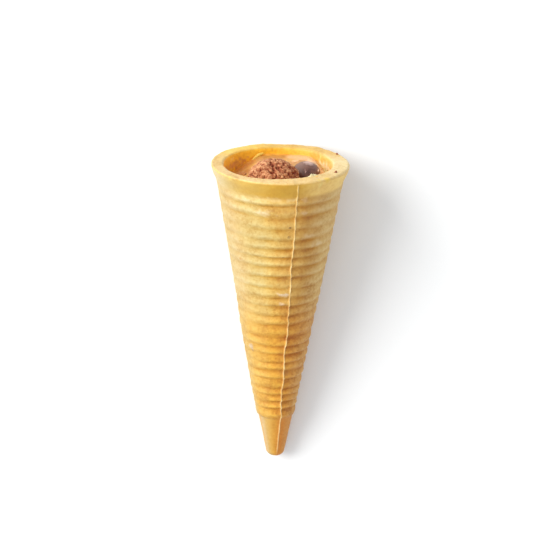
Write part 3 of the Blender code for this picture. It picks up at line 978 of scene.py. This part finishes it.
def makeCream():
    # from the bottom of the cavity up the wall, then over the surface to the middle
    azimuth = np.linspace(0, tau, cream["columns"], endpoint=False)[None, :]
    right = np.sin(azimuth)
    above = np.cos(azimuth)
    wallDepth = np.linspace(cone["cavityDepth"] - 1.0 * mm, wafer["hiddenDepth"], cream["wallRows"])[:, None]
    wallRadius = np.maximum(innerRadius(wallDepth), cone["cavityEndRadius"]) + cream["intoWall"]
    wall = toMouth(wallRadius * right, wallRadius * above, wallDepth, shiftShare(wallDepth))
    outer = innerRadius(3 * mm + 0 * right) + cream["intoWall"]
    share = np.linspace(1, 0.012, cream["rows"])[:, None]
    topRight = share * outer * right
    topAbove = share * outer * above
    level, pale = creamDepth(topRight, topAbove)
    top = toMouth(topRight, topAbove, level)
    topShade = creamShade(topRight, topAbove, level, pale)
    shade = np.concatenate((np.broadcast_to(topShade[:1], (*wall.shape[:2], 3)), topShade))
    poles = toRow(0.0, 0.0, cone["cavityDepth"] - 0.6 * mm), top[-1].mean(axis=0)
    grid = np.concatenate((wall, top))
    return turnedPiece("creamFilling", grid, *poles, makeCreamMaterial(), {"baked": shade})


def creamShade(right, above, level, pale):
    flat = np.stack((right, above, 0 * right), -1)
    swirl = smooth(-0.5, 0.6, layered(flat, *cream["swirls"]))
    shade = tinted(tone(cream["deep"]), swirl, tone(cream["base"]))
    # tinted places, with painted shade on the left and painted light beside the chocolate ball
    for placeRight, placeAbove, reach, strength, *other in creamShadeAndTints:
        share = strength * nearness(right, above, placeRight, placeAbove, reach)
        shade = tinted(shade, share, tone(other))
    shade = tinted(shade, pale, tone(cream["pale"]))
    # the colour along the wall is painted shade on the left and painted light on the right
    rim = innerRadius(level) - np.hypot(right, above) + layered(flat, cream["edgeWander"])
    share = (1 - fade(cream["edgeWidth"], rim)) * (1 - 0.8 * pale)
    return tinted(shade, share, roundColour(cream["edge"], np.degrees(np.arctan2(right, above))))


def makeCreamMaterial():
    material, tree, shader = newMaterial("setCream", {
        "Specular IOR Level": 0.5,
        "Subsurface Weight": 0.25,
        "Subsurface Radius": (1.0, 0.55, 0.3),
        "Subsurface Scale": 1.0 * mm,
    })
    streak = grain(tree, cream["streak"], detail=3, distortion=1.2)
    tint = ramp(tree, streak, ((0.35, (0.88, 0.80, 0.66, 1.0)), (0.6, (1.0, 1.0, 1.0, 1.0))))
    base = blend(tree, 1.0, mark(tree, "baked", "Color"), tint, "MULTIPLY")
    mottle = grain(tree, 1.5)
    tree.links.new(remap(tree, mottle, *cream["roughness"]), shader.inputs["Roughness"])
    dress(tree, shader, base, grain(tree, 1.0, detail=3), cream["bump"], 0.6)
    return material


creamPiece = makeCream()
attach(creamPiece, "root")
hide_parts("cream")
print("cream:", len(creamPiece.data.polygons), "faces")

# rough edge left on the near side of the mouth: directions, height
burr = {
    "start": 32,
    "end": 44.5,
    "height": 1.1 * mm,
    "length": 5 * mm,
    "jags": ((0.9, 0.3, 81), (0.4, 0.2, 82)),
    "lean": (0.6, 0.25 * mm, 83),
    "rows": 90,
    # round its section: mm out from the mouth's edge, mm down, and share of the height
    "section": ((0.80, 0.30, 0), (0.66, 0.0, 0.15), (0.42, 0.0, 0.75), (0.30, 0.0, 1.0),
                (0.20, 0.05, 0.75), (0.08, 0.35, 0.15), (0.05, 0.80, 0), (0.45, 0.75, 0)),
    "shade": (244, 230, 180),
}


def makeBurr():
    turn = np.linspace(0, 1, burr["rows"])
    azimuth = np.radians(burr["start"] + turn * (burr["end"] - burr["start"]))
    along = burr["length"] * turn[:, None] * (1.0, 0.0, 0.0)
    jagged = np.clip(0.85 + layered(along, *burr["jags"]), 0.2, 1.2)
    height = burr["height"] * jagged * np.sin(pi * turn) ** 0.9
    lean = layered(along, burr["lean"])
    sections = []
    for out, deep, share in burr["section"]:
        radius = cone["mouthRadius"] + out * mm + share * lean
        depth = deep * mm - share * height
        sections.append(toMouth(radius * np.sin(azimuth), radius * np.cos(azimuth), depth))
    return sweptPiece("mouthBurr", sections, makeBitMaterial("burrWafer", burr["shade"]))


# loose sliver of wafer stuck on the far wall: right, above and depth of its ends in mm
flake = {
    "start": (-8.3, -13.2, 3.5),
    "end": (-5.0, -14.7, 1.5),
    "halfWidth": 0.60 * mm,
    "thickness": 0.35 * mm,
    "arch": 0.25 * mm,
    "edge": (1.2, 0.2, 84),
    "rows": 26,
    "shade": (240, 196, 84),
}


def makeFlake():
    turn = np.linspace(0, 1, flake["rows"])
    start = np.array(flake["start"]) * mm
    end = np.array(flake["end"]) * mm
    middle = start + turn[:, None] * (end - start)
    middle[:, 2] -= flake["arch"] * np.sin(pi * turn)
    along = (end - start) / np.linalg.norm(end - start)
    inward = -middle * (1.0, 1.0, 0.0)
    inward /= np.linalg.norm(inward, axis=1)[:, None]
    across = np.cross(inward, along)
    wide = flake["halfWidth"] * (0.15 + 0.85 * np.sin(pi * turn) ** 0.5)
    wide = wide * (1 + layered(middle, flake["edge"]))
    sections = []
    for degrees in range(0, 360, 45):
        angle = radians(degrees)
        out = inward * flake["thickness"] * (0.5 + sin(angle))
        sections.append(toRow(*(middle + across * (wide * cos(angle))[:, None] + out).T))
    return sweptPiece("wallFlake", sections, makeBitMaterial("flakeWafer", flake["shade"]))


# crumbs: right, above, depth and radius in mm
cerealCrumbs = {
    "places": ((16.0, 8.5, -0.1, 0.50), (16.6, -9.5, -0.05, 0.38), (15.5, 8.9, -0.02, 0.24),
               (-9.9, -1.2, 4.0, 0.30)),
    "shade": (150, 78, 44),
}
waferCrumbs = {
    "places": ((12.3, -5.4, 2.9, 0.3), (-10.6, 0.2, 4.4, 0.26), (10.6, 12.6, 0.0, 0.32)),
    "shade": (236, 190, 110),
}


def makeCrumbs(name, crumbs, seed):
    directions, faces = roundPoints(3)
    points = []
    allFaces = []
    spread = np.random.default_rng(seed)
    for right, above, depth, radius in crumbs["places"]:
        middle = toRow(*(np.array(value * mm) for value in (right, above, depth)))
        stretch = spread.uniform(0.7, 1.25, 3)
        uneven = 1 + 0.3 * softNoise(directions + spread.uniform(0, 9, 3), 0.7, seed)
        allFaces += [tuple(corner + len(points) * len(directions) for corner in face) for face in faces]
        points.append(middle + directions * stretch * uneven[:, None] * radius * mm)
    return newPiece(name, np.concatenate(points), allFaces, makeBitMaterial(name + "Bits", crumbs["shade"]))


def makeBitMaterial(name, shade):
    material, tree, shader = newMaterial(name, {"Roughness": 0.7, "Specular IOR Level": 0.4})
    mottle = grain(tree, 0.4, detail=3)
    darker = tuple(0.68 * value for value in colour(*shade)[:3]) + (1.0,)
    base = ramp(tree, mottle, ((0.35, darker), (0.6, colour(*shade))))
    dress(tree, shader, base, grain(tree, 0.3, detail=2), 0.1 * mm, 0.6)
    return material


for piece, slot in ((makeBurr(), "wafer"), (makeFlake(), "wafer"),
                    (makeCrumbs("cerealCrumbs", cerealCrumbs, 91), "cereal"),
                    (makeCrumbs("waferCrumbs", waferCrumbs, 92), "wafer")):
    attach(piece, "root")
    print(piece.name + ":", len(piece.data.polygons), "faces")

stage = {
    "floorSize": 6.0,
    "floorColour": colour(240, 240, 239),
    "floorPatch": 40,
    "floorPaler": 1.02,
    "worldColour": (0.97, 1.0, 1.04),
    "worldStrength": 0.82,
    "keyAzimuth": radians(22),  # from -X toward +Y
    "keyElevation": radians(33),
    "keyDistance": 1.0,
    "keySize": 1.0,
    "keyPower": 14.3,
    "keyColour": (1.0, 0.99, 0.97),
}

camera = {
    "distance": 0.9,
    "tilt": radians(8.56),  # from straight above toward the mouth
    "roll": radians(1.2),
    "lens": 200.5,
    "sensor": 36,
    "clip": (0.01, 20),
    "aimBack": 34.2 * mm,  # from the mouth toward the tip
    "aimLeft": 0.8 * mm,
    "aimHeight": 10 * mm,
}


def makeFloor():
    half = stage["floorSize"] / 2
    corners = [(-half, -half, 0.0), (half, -half, 0.0), (half, half, 0.0), (-half, half, 0.0)]
    material, tree, shader = newMaterial("paleTable", {"Roughness": 0.9, "Specular IOR Level": 0.1})
    faint = grain(tree, stage["floorPatch"])
    paler = tuple(min(1.0, value * stage["floorPaler"]) for value in stage["floorColour"])
    tree.links.new(blend(tree, faint, stage["floorColour"], paler), shader.inputs["Base Color"])
    floor = newPiece("floor", corners, [(0, 1, 2, 3)], material)


def makeLight():
    world = bpy.data.worlds.new("studio")
    world.use_nodes = True
    background = world.node_tree.nodes["Background"]
    background.inputs["Color"].default_value = (*stage["worldColour"], 1.0)
    background.inputs["Strength"].default_value = stage["worldStrength"]
    bpy.context.scene.world = world
    light = bpy.data.lights.new("keyLight", "AREA")
    light.shape = "DISK"
    light.size = stage["keySize"]
    light.energy = stage["keyPower"]
    light.color = stage["keyColour"]
    lamp = bpy.data.objects.new("keyLight", light)
    level = cos(stage["keyElevation"])
    direction = Vector((-level * cos(stage["keyAzimuth"]), level * sin(stage["keyAzimuth"]),
                        sin(stage["keyElevation"])))
    lamp.location = direction * stage["keyDistance"]
    lamp.rotation_euler = direction.to_track_quat("Z", "Y").to_euler()
    bpy.context.scene.collection.objects.link(lamp)


def makeCamera():
    data = bpy.data.cameras.new("camera")
    data.lens = camera["lens"]
    data.sensor_width = camera["sensor"]
    data.clip_start, data.clip_end = camera["clip"]
    eye = bpy.data.objects.new("camera", data)
    aim = Vector((mouthCentre[0] - camera["aimLeft"], mouthCentre[1] - camera["aimBack"],
                  camera["aimHeight"]))
    turn = Matrix.Rotation(-camera["tilt"], 3, "X") @ Matrix.Rotation(camera["roll"], 3, "Z")
    eye.matrix_world = Matrix.Translation(aim + turn.col[2] * camera["distance"]) @ turn.to_4x4()
    bpy.context.scene.collection.objects.link(eye)
    bpy.context.scene.camera = eye


makeFloor()
makeLight()
makeCamera()
bpy.context.scene.view_settings.view_transform = "Standard"
bpy.context.scene.view_settings.look = "None"
print("stage, light and camera set")

bpy.context.view_layer.update()
